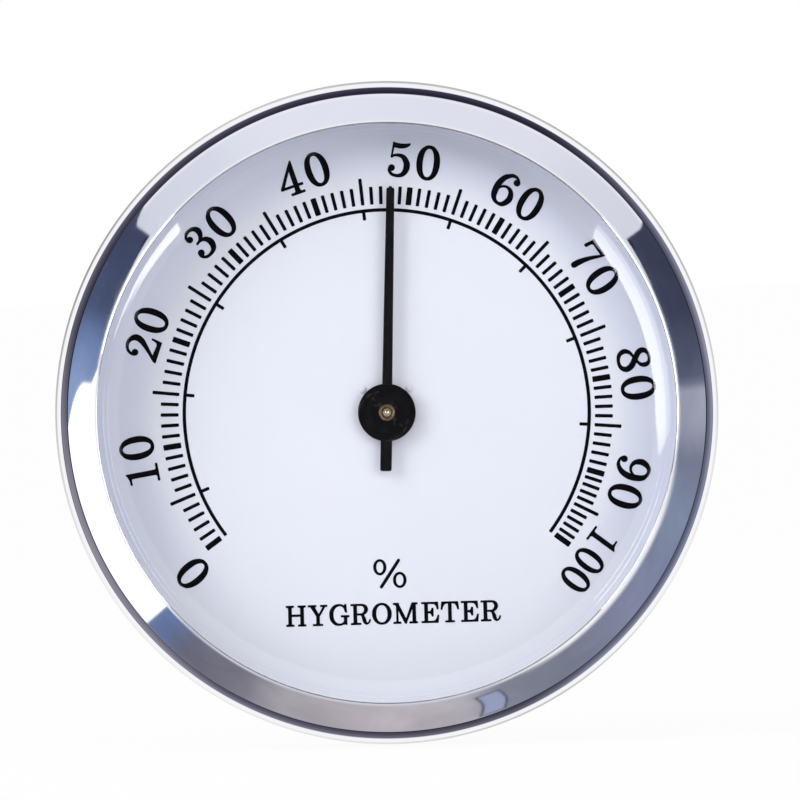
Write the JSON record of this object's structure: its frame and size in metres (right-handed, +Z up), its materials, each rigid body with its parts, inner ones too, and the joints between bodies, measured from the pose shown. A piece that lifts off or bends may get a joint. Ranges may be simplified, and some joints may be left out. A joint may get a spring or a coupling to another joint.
{
  "type": "dial hygrometer",
  "caption": "Round wall dial hygrometer: polished bezel, clear crystal, white percent scale with a black pointer, black vented case and a spiral humidity strip behind the dial.",
  "frame": {"origin": "on the pointer's axis, halfway between the flat back of the case and the lip of the bezel", "axes": "+Z up, -Y out through the dial towards the viewer, +Y into the wall, +X to the viewer's right"},
  "size_m": [0.07, 0.019, 0.07],
  "materials": {
    "bezel_chrome": "polished",
    "case_black_plastic": "satin",
    "crystal_clear": "polished",
    "gasket_rubber": "matte",
    "spacer_white_plastic": "satin",
    "dial_white_enamel": "satin",
    "plate_brass": "satin",
    "screw_steel": "satin",
    "turned_brass": "polished",
    "rivet_white_paint": "satin",
    "sensing_strip": "satin",
    "regulator_steel": "satin",
    "pointer_black": "satin",
    "eyelet_brass": "polished"
  },
  "bodies": {
    "case": {"case_cup": "case_black_plastic", "bezel_ring": "bezel_chrome", "crystal_lens": "crystal_clear", "crystal_gasket": "gasket_rubber", "dial_spacer_ring": "spacer_white_plastic", "dial_plate": "dial_white_enamel", "dial_rivet_left": "rivet_white_paint", "dial_rivet_right": "rivet_white_paint", "movement_plate": "plate_brass", "movement_pillar_left": "turned_brass", "movement_pillar_right": "turned_brass", "rear_bridge": "plate_brass", "bridge_screw_left": "screw_steel", "bridge_screw_right": "screw_steel", "front_bush": "turned_brass"},
    "regulator": {"adjuster_post": "turned_brass", "friction_washer": "regulator_steel", "regulator_arm": "regulator_steel", "coil_stud": "turned_brass", "humidity_coil": "sensing_strip"},
    "pointer": {"arbor": "turned_brass", "coil_collet": "turned_brass", "pointer": "pointer_black", "pointer_eyelet": "eyelet_brass"}
  },
  "joints": [
    {"name": "calibration_turn", "type": "hinge", "parent": "case", "child": "regulator", "pos_m": [0, -0.0005, 0], "axis": [0, 1, 0], "range_deg": [-20, 20]},
    {"name": "pointer_turn", "type": "hinge", "parent": "regulator", "child": "pointer", "pos_m": [0, -0.0005, 0], "axis": [0, 1, 0], "range_deg": [-128, 125], "stiffness_Nm_per_rad": 0.0002, "deforming": ["humidity_coil"]}
  ]
}
